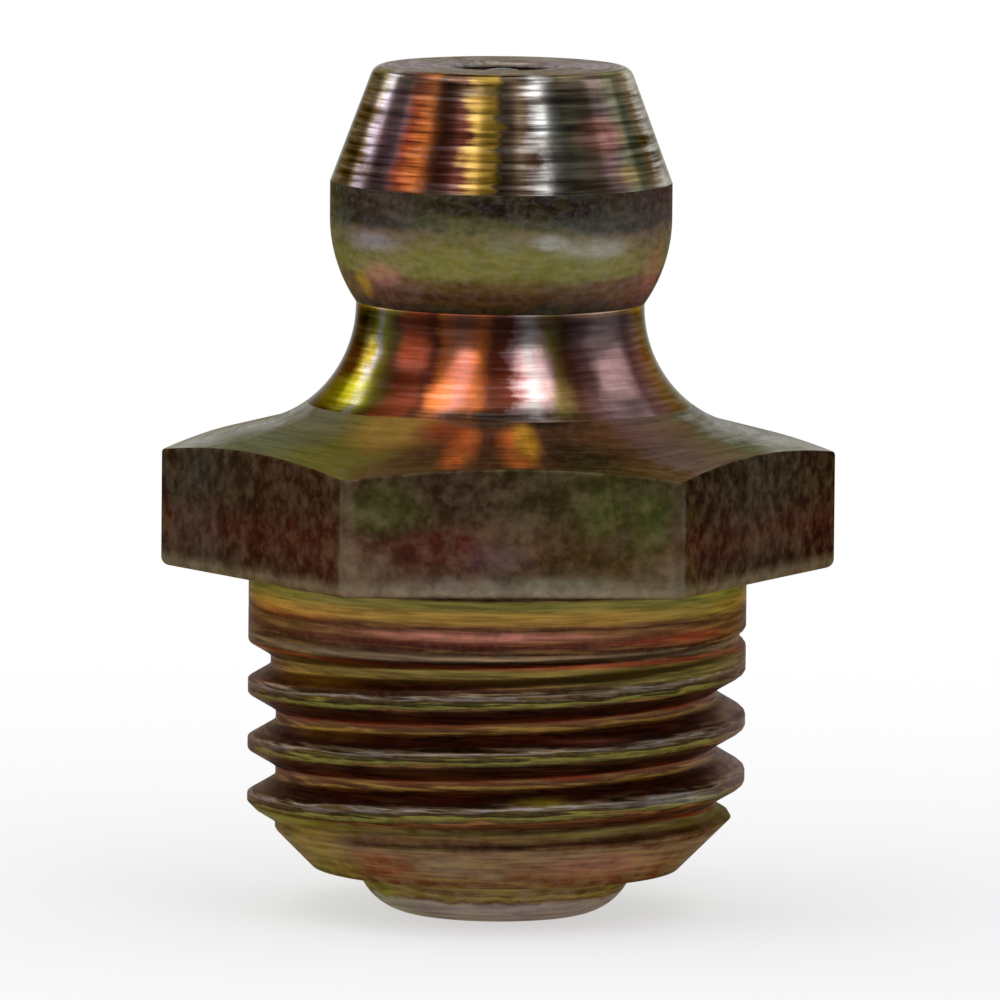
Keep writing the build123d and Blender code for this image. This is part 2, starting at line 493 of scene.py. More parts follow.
class NIPPLE_OT_ball(bpy.types.Operator):
    """The check ball"""

    bl_idname = "nipple.ball"
    bl_label = "Check ball"

    def execute(self, context):
        centre = (BALL_LOW + BALL_HIGH) / 2
        radius = (BALL_HIGH.x - BALL_LOW.x) / 2
        # each ring lies radius x sin(tilt) from the axis and radius x cos(tilt) above the centre
        tilt = np.linspace(0, np.pi, BALL_ROWS)[1:-1, None]
        angle = np.linspace(0, 2 * np.pi, BALL_COLUMNS, endpoint=False)
        points = round_axis(np.sin(tilt), angle, np.cos(tilt))
        tips = np.array([[0, 0, 1.0], [0, 0, -1.0]])
        piece = surface("nipple_check_ball", points * radius + centre, tips=tips * radius + centre)
        piece.data.materials.append(ball_steel())
        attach(piece, "check_ball")
        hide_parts("check_ball")
        return {"FINISHED"}


class NIPPLE_OT_spring(bpy.types.Operator):
    """The valve spring: a round wire carried along a helix with closed end turns"""

    bl_idname = "nipple.spring"
    bl_label = "Valve spring"

    def execute(self, context):
        # the rise of each turn is the closed pitch and, between the end turns, its share of the rest
        size = context.scene.nipple_sizes
        coil = SPRING_HIGH.x - size.wire_radius
        bottom, top = SPRING_LOW.z + size.wire_radius, SPRING_HIGH.z - size.wire_radius
        turn = np.linspace(0, SPRING_TURNS, SPRING_TURNS * ROWS_PER_TURN + 1)
        start, end = (1 - OPENING, 1 + OPENING), (SPRING_TURNS - 1 - OPENING, SPRING_TURNS - 1 + OPENING)
        opened = smoothstep(turn, *start) * (1 - smoothstep(turn, *end))
        spread = np.cumsum(opened) / opened.sum()
        z = bottom + CLOSED_PITCH * turn + (top - bottom - SPRING_TURNS * CLOSED_PITCH) * spread
        angle = 2 * np.pi * turn
        path = round_axis(coil, angle, z)
        along = np.gradient(path, axis=0)
        along /= np.linalg.norm(along, axis=1, keepdims=True)
        outward = round_axis(1, angle, 0)
        across = np.cross(along, outward)
        # each ring of the wire stands across the helix: outward x cos around - across x sin around
        around = np.linspace(0, 2 * np.pi, WIRE_SIDES, endpoint=False)[None, :, None]
        ring = outward[:, None] * np.cos(around) - across[:, None] * np.sin(around)
        points = path[:, None] + size.wire_radius * ring
        piece = surface("nipple_spring", points, tips=path[[0, -1]])
        piece.data.materials.append(spring_steel())
        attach(piece, "body")
        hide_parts("spring")
        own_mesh(piece)
        return {"FINISHED"}


# ---- materials ----
# Every finish of the body says which tints its film takes and how the ground under it is worked.
# Degrees go round from the front (-Y) towards +X.  Heights and lengths are millimetres.
#   around, down: tints by degrees and by height    threads: tints by share of a pitch, from a crest down
#   (round the axis and over a pitch the first tint is also the last)
#   stains: degrees, height, half width, half height, tint and cover of each patch: film stains, and painted
#       highlights, reflections and shade
#   share, slip: how much the tints by height count, and how far they drift
#   cloud, warp: size of the film's drift, and how far it moves the tints round, in turns
#   fray: how far the tool marks move them round
#   lines, reach, cut: spacing (a lathe's real feed), length and depth of the tool marks
#   dark, light: how far the marks darken and lighten the film
#   streak: tint and strength of the lands between the marks
#   bloom: tint, size and strength of the mottling
#   grain, pits: depth and darkness of the fine bump
#   gloss, dull: least and added roughness
#   stretch: anisotropy along the axis
#   rubbed: how bare the worn edges are
USUAL = dict(
    threads={}, stains=(), slip=0.25, cloud=0.5, fray=0.0, cut=0.002, dark=0.2, pits=0.1, dull=0.2,
    stretch=0.0, rubbed=0.2,
)
FINISHES = {}
# flat face off the parting tool, handled, with the film worn thin
FINISHES["crown"] = dict(
    USUAL,
    around={-180: "taupe", -90: "lilac", -20: "taupe", 30: "taupe", 90: "lilac"},
    down={9.5: "taupe", 9.3: "charcoal"},
    share=0.4, cloud=0.4, warp=0.3, lines=0.1, reach=1.2, light=0.2, streak=("silver", 0.2),
    bloom=("silver", 0.2, 0.35), grain=0.001, gloss=0.36, rubbed=0.3,
)
# turned bright, so the fine feed marks break every lamp's streak into short bright flecks; some tints and
# stains paint light and shade on the cone
FINISHES["head"] = dict(
    USUAL,
    # painted shade and light at the cone's edges: umber at -88 degrees darkens the left edge, silver from 72
    # to 95 degrees lightens the right
    around={
        -180: "olive", -140: "copper", -105: "taupe", -88: "umber", -76: "taupe", -66: "taupe", -60: "lilac",
        -54: "mauve", -47: "mauve", -41: "copper", -34: "orange", -27: "maroon", -18: "maroon", -14: "ochre",
        -6: "gold", -3: "umber", 5: "umber", 9: "steel", 13: "silver", 18: "steel", 23: "umber", 28: "taupe",
        34: "taupe", 41: "mauve", 49: "sage", 56: "sage", 64: "taupe", 72: "silver", 95: "silver",
        120: "gold", 145: "mauve",
    },
    down={9.5: "sage", 9.25: "taupe", 8.5: "umber", 7.3: "umber"},
    stains=(
        # painted shade: bark and umber at 13 and 14 degrees break the silver highlight and dim its lower
        # half; the bark line at 7.31 mm ends the highlights at the cone's foot
        (13, 7.82, 0.75, 0.42, "bark", 0.95), (13, 7.84, 0.6, 0.34, "umber", 0.6),
        (-43, 9.26, 0.4, 0.23, "wine", 0.75), (-62, 9.31, 0.73, 0.17, "sage", 0.5),
        (49, 7.6, 0.43, 0.19, "gold", 0.3), (40, 9.26, 0.77, 0.23, "taupe", 0.5),
        (-3, 9.44, 0.49, 0.15, "umber", 0.5), (-24, 9.2, 0.9, 0.16, "umber", 0.8),
        (-58, 8.5, 0.4, 0.3, "mauve", 0.35), (-58, 7.7, 0.45, 0.22, "umber", 0.8),
        (38, 8.35, 0.6, 0.34, "salmon", 0.6), (14, 9.02, 0.5, 0.09, "umber", 0.8),
        (14, 8.36, 0.45, 0.07, "umber", 0.7), (0, 7.31, 3.6, 0.07, "bark", 0.8),
        (1, 8.5, 0.3, 1.1, "taupe", 0.4), (23, 8.3, 0.35, 1.0, "sage", 0.4),
        (40, 8.95, 0.9, 0.3, "charcoal", 0.5),
    ),
    share=0.2, cloud=0.8, warp=0.04, fray=0.035, lines=0.12, reach=2.2, cut=0.0035, dark=0.65, light=0.6,
    streak=("silver", 0.12), bloom=("umber", 0.45, 0.25), grain=0.0006, pits=0.0, gloss=0.15, dull=0.1,
    stretch=0.4, rubbed=0.3,
)
# land, painted dark as a painted reflection of the dim room in front, and the matt round formed under it,
# painted darker at its foot as painted shade
FINISHES["round"] = dict(
    USUAL,
    around={
        -180: "olive", -120: "salmon", -88: "olive", -70: "sage", -56: "taupe", -40: "taupe", -26: "olive",
        12: "olive", 26: "sage", 45: "taupe", 60: "mauve", 82: "mauve", 130: "olive",
    },
    # painted reflection and shade: bark and charcoal from 7.35 to 6.68 mm darken the land, maroon and bark
    # from 5.2 mm down darken the round's foot
    down={
        7.35: "bark", 7.2: "bark", 6.78: "charcoal", 6.68: "charcoal", 6.54: "taupe", 6.1: "olive",
        5.75: "olive", 5.62: "russet", 5.34: "russet", 5.2: "maroon", 5.08: "bark",
    },
    # painted dark reflection: bark, umber and charcoal on the land at 7.08, 7.0, 6.72 and 6.64 mm; painted
    # shade: the maroon band at 5.36 mm
    stains=(
        (-10, 6.85, 0.7, 0.22, "olive", 0.5), (-18, 6.24, 1.02, 0.42, "olive", 0.6),
        (13, 5.74, 1.18, 0.17, "olive", 0.5), (-2, 6.38, 0.3, 0.2, "sage", 0.6),
        (4, 7.08, 2.1, 0.3, "bark", 1.0), (14, 6.42, 0.35, 0.15, "silver", 0.55),
        (32, 6.28, 0.75, 0.2, "silver", 0.35), (-49, 5.72, 0.45, 0.24, "salmon", 0.7),
        (-62, 5.5, 0.25, 0.25, "gold", 0.5), (66, 5.75, 0.4, 0.46, "salmon", 0.45),
        (-52, 6.33, 0.7, 0.17, "lilac", 0.5), (-58, 7.0, 0.9, 0.35, "umber", 0.6),
        (42, 6.64, 1.2, 0.14, "charcoal", 0.7), (-52, 6.72, 0.9, 0.14, "bark", 0.5),
        (-14, 5.36, 2.6, 0.08, "maroon", 0.6),
    ),
    share=0.7, slip=0.5, cloud=0.45, warp=0.12, fray=0.02, lines=0.12, reach=0.4, light=0.1,
    streak=("taupe", 0.15), bloom=("lilac", 0.16, 0.1), grain=0.0015, gloss=0.42,
)
# neck and flare, turned as bright as the cone; some tints and stains are painted highlight and painted shade
FINISHES["neck"] = dict(
    USUAL,
    # painted highlight: silver at -57 and 8 degrees and salmon at -17 degrees are the pale cores of the lime,
    # silver and orange streaks
    around={
        -180: "copper", -110: "green", -95: "bark", -77: "moss", -69: "moss", -63: "olive", -60: "lime",
        -57: "silver", -54: "lime", -50: "olive", -46: "russet", -42: "copper", -34: "copper", -30: "maroon",
        -26: "orange", -17: "salmon", -10: "orange", -5: "maroon", 0: "maroon", 4: "rose", 8: "silver",
        13: "rose", 17: "olive", 22: "umber", 32: "mauve", 38: "rose", 46: "rose", 54: "mauve", 70: "taupe",
        90: "sage", 125: "lime",
    },
    # painted shade: bark at the top of the neck, under the head
    down={5.05: "bark", 4.75: "bark", 4.5: "russet", 4.1: "copper", 3.1: "russet"},
    stains=(
        # painted highlight: the ochre lines at 4.99 mm on the fillet under the head; painted shade: maroon
        # and wine at 4.98 and 4.84 mm
        (-75, 4.99, 1.6, 0.05, "ochre", 0.8), (60, 4.99, 1.6, 0.05, "ochre", 0.7),
        (-2, 4.98, 1.2, 0.05, "maroon", 0.6), (0, 4.84, 2.6, 0.13, "wine", 0.6),
        # painted shade: the bark at -86 degrees darkens the neck's left edge against the backdrop's
        # reflection
        (-86, 4.4, 0.5, 0.6, "bark", 0.8), (-64, 3.42, 1.1, 0.3, "lime", 0.6),
        # painted shade: the bark band at 3.2 mm, where the highlights stop above the ring line
        (-4, 3.2, 2.2, 0.11, "bark", 0.85),
    ),
    share=0.3, cloud=0.9, warp=0.05, fray=0.012, lines=0.1, reach=1.4, cut=0.0015, dark=0.25, light=0.15,
    streak=("silver", 0.05), bloom=("umber", 0.5, 0.15), grain=0.0006, pits=0.0, gloss=0.15, dull=0.1,
)
# conical top of the hexagon, faced with the same tool; some tints and stains are painted reflections, painted
# light and painted shade
FINISHES["top"] = dict(
    USUAL,
    # painted light: silver at -88, 82 and 90 degrees lightens the top's sides
    around={
        -180: "umber", -120: "olive", -88: "silver", -72: "sage", -60: "sage", -45: "olive", -34: "olive",
        -24: "russet", -3: "maroon", 16: "umber", 28: "russet", 36: "mauve", 54: "taupe", 62: "sage",
        82: "silver", 90: "silver", 120: "sage", 150: "maroon",
    },
    down={3.2: "umber", 2.9: "russet", 2.6: "moss", 2.0: "olive"},
    stains=(
        # painted reflections: the orange patches at 2.72 mm and the gold one at 2.8 mm are the neck's
        # highlights seen in the flare's foot
        (-12, 2.72, 0.3, 0.34, "orange", 1.0), (2, 2.72, 0.34, 0.36, "orange", 1.0),
        # painted shade: the bark band at 3.06 mm, along the ring line
        (-4, 3.06, 2.2, 0.08, "bark", 0.7), (4, 2.8, 0.22, 0.26, "gold", 0.8),
        (-32, 2.9, 0.9, 0.35, "ochre", 0.8), (-19, 2.92, 0.5, 0.18, "copper", 0.8),
        (26, 2.89, 0.77, 0.3, "russet", 0.5),
    ),
    share=0.3, cloud=0.6, warp=0.08, fray=0.03, lines=0.12, reach=1.5, cut=0.003, light=0.15,
    streak=("sage", 0.08), bloom=("taupe", 0.25, 0.2), grain=0.002, pits=0.15, gloss=0.55, dull=0.12,
    rubbed=0.5,
)
# skin of the drawn bar, pickled dull, with the film in cloudy patches; the dark tints round the side flats
# are painted dark reflection as well
FINISHES["flats"] = dict(
    USUAL,
    # painted dark reflection: umber, charcoal and bark round the side flats, over the film's own colour
    around={
        -180: "wine", -120: "moss", -90: "umber", -82: "charcoal", -60: "umber", -34: "wine", -28: "umber",
        -12: "umber", 12: "moss", 27: "moss", 32: "bark", 60: "charcoal", 86: "bark", 120: "umber",
        150: "moss",
    },
    down={2.3: "umber", 1.6: "umber", 1.0: "maroon", 0.35: "wine", 0.18: "taupe", 0.0: "taupe"},
    stains=(
        (-23, 1.7, 0.8, 0.55, "moss", 0.8), (-24, 1.66, 0.6, 0.4, "green", 0.2),
        (-12, 0.97, 0.88, 0.34, "maroon", 0.6), (21, 1.5, 0.85, 0.75, "moss", 0.6),
        (16, 1.7, 0.34, 0.55, "green", 0.3), (25, 1.4, 0.34, 0.7, "green", 0.35),
        (-5, 1.88, 0.64, 0.34, "umber", 0.7), (0, 1.2, 0.6, 0.4, "taupe", 0.3),
        (-3, 0.75, 0.6, 0.28, "mauve", 0.35), (-27, 0.6, 0.5, 0.36, "taupe", 0.5),
        (27, 0.5, 0.45, 0.32, "taupe", 0.45), (0, 0.22, 3.0, 0.24, "taupe", 0.45),
        (0, 0.2, 3.0, 0.18, "steel", 0.2), (10, 0.3, 1.2, 0.14, "sage", 0.4),
        (-29, 1.2, 0.16, 1.2, "taupe", 0.4), (29, 1.2, 0.16, 1.2, "taupe", 0.2),
    ),
    share=0.5, cloud=0.55, warp=0.12, lines=0.3, reach=0.3, cut=0.0, light=0.3, streak=("taupe", 0.15),
    bloom=("taupe", 0.3, 0.26), grain=0.005, pits=0.15, gloss=0.42, rubbed=0.35,
)
# shank and thread: the die has burnished the crests, and the colour darkens towards the roots; the shank has
# painted shadow under the hexagon and painted light on its sides
FINISHES["thread"] = dict(
    USUAL,
    around={
        -180: "maroon", -90: "taupe", -75: "olive", -45: "russet", -10: "maroon", 20: "russet", 45: "umber",
        70: "olive", 90: "taupe", 130: "maroon",
    },
    # painted shadow: bark from 0 to -0.12 mm, under the hexagon
    down={
        0.0: "bark", -0.12: "bark", -0.18: "olive", -0.28: "olive", -0.42: "ochre", -0.54: "ochre",
        -0.64: "russet", -0.68: "wine", -0.75: "russet", -0.88: "russet", -0.95: "maroon", -1.06: "wine",
        -1.14: "umber", -1.22: "taupe", -1.33: "umber", -1.4: "copper", -1.5: "olive", -1.7: "olive",
        -1.8: "umber",
    },
    threads={
        0.0: "moss", 0.04: "olive", 0.09: "moss", 0.13: "wine", 0.18: "russet", 0.25: "maroon",
        0.33: "russet", 0.4: "copper", 0.46: "russet", 0.52: "russet", 0.58: "ochre", 0.64: "umber",
        0.72: "maroon", 0.82: "umber", 0.87: "taupe", 0.89: "steel", 0.91: "taupe", 0.95: "umber",
    },
    stains=(
        (-7, -0.81, 2.3, 0.09, "salmon", 0.85), (-62, -0.6, 1.61, 0.12, "orange", 0.25),
        (45, -0.95, 1.6, 0.12, "copper", 0.5), (51, -0.4, 1.58, 0.19, "olive", 0.6),
        (47, -3.99, 1.34, 0.09, "steel", 0.5), (8, -3.91, 0.5, 0.07, "lime", 0.7),
        (-53, -2.85, 1.17, 0.11, "gold", 0.4), (21, -2.81, 0.82, 0.05, "salmon", 0.5),
        # painted light: the broad mauve patches at 88 and -93 degrees and the lilac at 88 degrees lighten the
        # thread's sides
        (-56, -1.83, 1.58, 0.11, "gold", 0.35), (88, -2.9, 2.4, 2.6, "mauve", 0.7),
        (-93, -2.9, 2.4, 2.6, "mauve", 0.65), (88, -3.4, 1.8, 1.5, "lilac", 0.2),
    ),
    share=0.85, slip=0.06, warp=0.05, fray=0.05, lines=0.07, reach=1.2, dark=0.3, light=0.3,
    streak=("ochre", 0.2), bloom=("taupe", 0.15, 0.12), grain=0.0015, gloss=0.34,
)
# end chamfer, spigot and rolled end
FINISHES["end"] = dict(
    USUAL,
    around={
        -180: "olive", -90: "taupe", -60: "olive", -40: "russet", 55: "russet", 75: "taupe", 120: "olive",
    },
    down={
        -4.4: "umber", -4.55: "olive", -4.75: "russet", -4.85: "umber", -4.95: "taupe", -5.5: "russet",
        -5.68: "wine", -5.78: "moss", -5.95: "moss", -6.0: "olive", -6.08: "umber", -6.15: "steel",
        -6.6: "steel",
    },
    stains=(
        (-35, -5.23, 0.58, 0.27, "copper", 0.35), (33, -5.24, 1.48, 0.27, "salmon", 0.25),
        (-17, -5.26, 0.58, 0.23, "taupe", 0.7), (-4, -5.37, 0.3, 0.19, "taupe", 0.6),
        (-58, -4.95, 0.85, 0.27, "ochre", 0.4), (6, -5.8, 1.72, 0.09, "olive", 0.3),
    ),
    share=0.5, warp=0.1, fray=0.03, lines=0.11, reach=1.0, dark=0.35, light=0.1, streak=("olive", 0.3),
    bloom=("taupe", 0.3, 0.35), grain=0.002, pits=0.15, gloss=0.42,
)
# drilled, with little film where the bath hardly reached; its umber and bark are painted shade inside the
# bore
FINISHES["bore"] = dict(
    USUAL,
    around={-180: "umber"},
    down={9.5: "umber", 8.0: "bark"},
    share=0.5, warp=0.1, lines=0.15, reach=0.6, dark=0.4, light=0.0, streak=("taupe", 0.2),
    bloom=("taupe", 0.2, 0.2), grain=0.001, gloss=0.4, rubbed=0.0,
)
ZONE_FINISH = {"land": "round", "flare": "neck", "underside": "flats", "chamfer": "end"}
EDGE_TINT = linear("#A8A294")

# ranges over which a pattern tells; a Map Range takes its value, such a range and what it becomes
THINNING = (0.42, 0.58)    # of the film's drift: thin stain to thick
SHADING = (0.36, 0.62)     # of the tool marks: dark to bright
LANDS = (0.52, 0.66)       # of the tool marks: mark to land
MOTTLING = (0.45, 0.65)    # of the fine grain: plain to mottled
PITTING = (0.32, 0.46)     # of the fine grain: pitted to sound
RUBBING = (1.35, 1.70)     # of wear and drift added up: plated to rubbed
THREADING = (-1.3 * MM, -2.0 * MM)    # of height: plain shank to full thread
MOST = (0.3, 0.7)          # of a noise: nearly all of it
# cover of the patches, film stains and painted light and shade alike, where the drift is thin and where it is
# thick
STAIN_COVER = (0.65, 1.1)  # share of a stain's cover where it is thin and where it is thick
THREAD_SHARE = 0.85        # how much the tints by pitch count on the full thread
THREAD_DRIFT = 0.10        # how far the drift moves them, in pitches
THREAD_FRAY = 0.35         # how far the tool marks move them, in pitches
CREST_TURN = 0.25          # share of a turn at the -X side, where CREST_Z holds
ROOT_FILM = 0.12           # how much darker the film is in the roots
BALL_CLOUD, BALL_ROUGHNESS = 0.5 * MM, (0.35, 0.5)
DRAW_MARKS = 0.06 * MM


def plated_steel(name, size, tints):
    """Zinc-plated, yellow-chromated steel: a metal whose thin film shifts from gold through red and
    green from place to place, over the marks that its tool left.
    """
    finish = FINISHES[name]
    made, tree = new_material("chromated_" + name)
    colour = {key: (*getattr(tints, key), 1.0) for key in tints.__annotations__}
    place = add(tree, "TexCoord").outputs["Object"]
    apart = add(tree, "SeparateXYZ", [place]).outputs
    # the angle round the axis as a share of a turn, 0.5 at the front
    front = add(tree, "Math", (apart["Y"], -1.0), "MULTIPLY")
    turn = add(tree, "Math", (apart["X"], front), "ARCTAN2")
    turn = add(tree, "Math", (turn, 0.5 / math.pi, 0.5), "MULTIPLY_ADD")

    # tool marks run round the axis in short lengths, one after another along the outline
    along = add(tree, "Attribute", attribute_name="along").outputs["Fac"]
    along = add(tree, "Math", (along, 1 / (finish["lines"] * MM)), "MULTIPLY")
    lengthways = 1 / (finish["reach"] * MM)
    slowly = add(tree, "VectorMath", (place, (lengthways, lengthways, 0)), "MULTIPLY")
    marks = add(tree, "CombineXYZ", {"Z": along})
    marks = add(tree, "VectorMath", (marks, slowly), "ADD")
    marks = add(tree, "TexNoise", {"Vector": marks, "Scale": 1.0, "Detail": 2.0, "Roughness": 0.6})

    # the film's drift moves the place that each tint is read from, and the marks fray its edges
    cells = 1 / (finish["cloud"] * MM)
    cloud = add(tree, "TexNoise", {"Vector": place, "Scale": cells, "Detail": 5.0, "Roughness": 0.62})
    drift = add(tree, "Math", (cloud, 0.5), "SUBTRACT")
    fac = add(tree, "Math", (drift, finish["warp"], turn), "MULTIPLY_ADD")
    fray = add(tree, "Math", (marks, 0.5), "SUBTRACT")
    fac = add(tree, "Math", (fray, finish["fray"], fac), "MULTIPLY_ADD")
    stops = [(degrees / 360 + 0.5, colour[key]) for degrees, key in finish["around"].items()]
    stops.append((1.0, stops[0][1]))
    around = add(tree, "ValToRGB", [fac], stops=stops)
    high, low = max(finish["down"]), min(finish["down"])
    fac = add(tree, "MapRange", (apart["Z"], high * MM, low * MM))
    fac = add(tree, "Math", (drift, finish["slip"] / (high - low), fac), "MULTIPLY_ADD")
    stops = [((high - mm) / (high - low), colour[key]) for mm, key in finish["down"].items()]
    down = add(tree, "ValToRGB", [fac], stops=stops)
    layers = [(finish["share"], down, "MIX")]

    # on the thread the tints also follow the pitch, from one crest down to the next
    if finish["threads"]:
        pitch = size.thread_pitch
        fac = add(tree, "Math", (apart["Z"], -1 / pitch, CREST_Z / pitch - CREST_TURN), "MULTIPLY_ADD")
        fac = add(tree, "Math", (fac, turn), "ADD")
        fac = add(tree, "Math", (drift, THREAD_DRIFT, fac), "MULTIPLY_ADD")
        fac = add(tree, "Math", (fray, THREAD_FRAY, fac), "MULTIPLY_ADD")
        fac = add(tree, "Math", [fac], "FRACT")
        stops = [(share, colour[key]) for share, key in finish["threads"].items()]
        stops.append((1.0, stops[0][1]))
        wound = add(tree, "ValToRGB", [fac], stops=stops)
        layers.append((add(tree, "MapRange", (apart["Z"], *THREADING, 0, THREAD_SHARE)), wound, "MIX"))

    # the patches, film stains and painted highlights, reflections and shade alike, lie over the film and thin
    # out with its drift
    stain = add(tree, "Attribute", attribute_name="stain").outputs
    thin = add(tree, "MapRange", (cloud, *THINNING, *STAIN_COVER))
    cover = add(tree, "Math", (stain["Alpha"], thin), "MULTIPLY")
    layers.append((cover, stain["Color"], "MIX"))

    # the marks show as dark and bright lines
    shade = add(tree, "MapRange", (marks, *SHADING, 1 - finish["dark"], 1 + finish["light"]))
    layers.append((1.0, shade, "MULTIPLY"))
    key, strength = finish["streak"]
    layers.append((add(tree, "MapRange", (marks, *LANDS, 0, strength)), colour[key], "MIX"))

    # soft mottling, and metal rubbed towards bare in places along the edges
    key, cell, strength = finish["bloom"]
    cells = 1 / (cell * MM)
    fine = add(tree, "TexNoise", {"Vector": place, "Scale": cells, "Detail": 4.0, "Roughness": 0.65})
    mottle = add(tree, "MapRange", (fine, *MOTTLING, 0, strength))
    layers.append((mottle, colour[key], "MIX"))
    layers.append((1.0, add(tree, "MapRange", (fine, *PITTING, 1 - finish["pits"], 1)), "MULTIPLY"))
    # the colour darkens towards the thread's roots
    groove = add(tree, "Attribute", attribute_name="groove").outputs["Fac"]
    groove = add(tree, "Math", (groove, ROOT_FILM), "MULTIPLY")
    layers.append((groove, colour["bark"], "MIX"))
    wear = add(tree, "Attribute", attribute_name="wear").outputs["Fac"]
    wear = add(tree, "Math", (wear, cloud), "ADD")
    layers.append((add(tree, "MapRange", (wear, *RUBBING, 0, finish["rubbed"])), colour["sage"], "MIX"))

    # sockets 6 and 7 of a Mix node are the colour below and the one laid over it
    film = around
    for share, over, blend in layers:
        film = add(tree, "Mix", {0: share, 6: film, 7: over}, data_type="RGBA", blend_type=blend)

    rough = add(tree, "Math", (mottle, cloud), "ADD")
    rough = add(tree, "Math", (rough, finish["dull"], finish["gloss"]), "MULTIPLY_ADD")
    bump = add(tree, "Bump", {"Strength": 1.0, "Distance": finish["grain"] * MM, "Height": fine})
    if finish["cut"]:
        bump = add(
            tree, "Bump", {"Strength": 1.0, "Distance": finish["cut"] * MM, "Height": marks, "Normal": bump}
        )
    shader = add(
        tree,
        "BsdfPrincipled",
        {
            "Base Color": film,
            "Metallic": 1.0,
            "Roughness": rough,
            "Specular Tint": EDGE_TINT,
            "Anisotropic": finish["stretch"],
            "Anisotropic Rotation": 0.25,
            "Tangent": add(tree, "CombineXYZ", {"X": front, "Y": apart["X"]}),
            "Normal": bump,
        },
    )
    add(tree, "OutputMaterial", {"Surface": shader})
    return made


def bare_steel(name, cell, detail, dark, pale):
    """The start of an unplated steel: its tree, the noise on it, and a colour from dark to pale over that."""
    made, tree = new_material(name)
    place = add(tree, "TexCoord").outputs["Object"]
    noise = add(tree, "TexNoise", {"Vector": place, "Scale": 1 / cell, "Detail": detail})
    colour = add(tree, "ValToRGB", [noise], stops=zip(MOST, (linear(dark), linear(pale))))
    return made, tree, noise, colour


def ball_steel():
    """Ground bearing steel: a near mirror, cloudy with a film of grease, and painted dark as painted shade
    down in the inlet.
    """
    made, tree, film, colour = bare_steel("ground_bearing_steel", BALL_CLOUD, 4.0, "#2A241E", "#4A423A")
    rough = add(tree, "MapRange", (film, *MOST, *BALL_ROUGHNESS))
    shader = add(tree, "BsdfPrincipled", {"Base Color": colour, "Metallic": 1.0, "Roughness": rough})
    add(tree, "OutputMaterial", {"Surface": shader})
    return made


def spring_steel():
    """Drawn wire: grey steel, dull with fine draw marks.

    The real marks are too fine to show, so they are drawn as coarse as they need to be.
    """
    made, tree, marks, colour = bare_steel("drawn_spring_wire", DRAW_MARKS, 3.0, "#6E6A66", "#A8A6A4")
    bump = add(tree, "Bump", {"Strength": 1.0, "Distance": 0.002 * MM, "Height": marks})
    shader = add(
        tree, "BsdfPrincipled", {"Base Color": colour, "Metallic": 1.0, "Roughness": 0.32, "Normal": bump}
    )
    add(tree, "OutputMaterial", {"Surface": shader})
    return made


def background_rays(tree):
    """Whether a ray comes from the camera, and whether it comes by way of metal or glass."""
    path = add(tree, "LightPath").outputs
    shiny = add(tree, "Math", (path["Is Glossy Ray"], path["Is Transmission Ray"]), "MAXIMUM")
    return path["Is Camera Ray"], shiny


def pale_floor():
    """Pale board that is lit near the nipple, where its shadow falls, and plain white further out."""
    made, tree = new_material("pale_board")
    place = add(tree, "TexCoord").outputs["Object"]
    out = add(tree, "VectorMath", [place], "LENGTH")
    fade = add(tree, "MapRange", (out, *FLOOR_FADE, FLOOR_WHITE, 1), interpolation_type="SMOOTHSTEP")
    camera, shiny = background_rays(tree)
    seen = add(tree, "Math", (camera, fade), "MULTIPLY")
    share = add(tree, "Math", (seen, shiny), "MAXIMUM")
    board = add(tree, "BsdfDiffuse", {"Color": linear("#E8E8E8")})
    white = add(tree, "Emission", {"Color": (1, 1, 1, 1), "Strength": 1.0})
    both = add(tree, "MixShader", (share, board, white))
    add(tree, "OutputMaterial", {"Surface": both})
    return made


# ---- stage ----
AIM_HEIGHT, AIM_ASIDE = 1.26 * MM, 0.03 * MM    # of the point that the camera looks at
SENSOR = 36                        # width of the camera's sensor, mm
CLIP = (10 * MM, 10)               # nearest and furthest that the camera sees
FLOOR_RADIUS = 70 * MM
FLOOR_RINGS = (1.0, 0.7, 0.4, 0.2, 0.1)    # shares of that radius
FLOOR_COLUMNS = 96
FLOOR_THICKNESS = 1 * MM
FLOOR_FADE = (12 * MM, 45 * MM)    # distances between which it turns white
FLOOR_WHITE = 0.55                 # how white it is already near the nipple
ROOM_GLOW = 0.21                   # of the room's front, as metal mirrors it
ROOM_LIGHT = 0.8                   # of the room on matt surfaces
BEHIND = (0.55, 0.95)              # how far behind (0 to 1) the white backdrop starts and is full
BEHIND_LEAN = 0.18                 # how far the backdrop's middle lies towards +X
OVERHEAD = (0.62, 0.92)            # how far up (0 to 1) the white ceiling starts and is full
LAMP_DISTANCE = 580 * MM
LAMPS = {
    # name: direction of one end and of the other (degrees round and up), width (mm), radiance
    "left_strip": ((-26, 24), (-100, 70), 140, 1.85),
    "right_strip": ((20, 22), (42, 70), 200, 1.7),
    "left_side": ((-74, 12), (-80, 34), 280, 0.75),
    "left_back": ((-118, 11), (-142, 35), 170, 2.1),
    "right_side": ((93, 18), (113, 42), 280, 0.65),
}


def direction(azimuth, elevation):
    """Unit vector that points a given angle round from the front (-Y) and above the level."""
    level = math.cos(elevation)
    return Vector((math.sin(azimuth) * level, -math.cos(azimuth) * level, math.sin(elevation)))


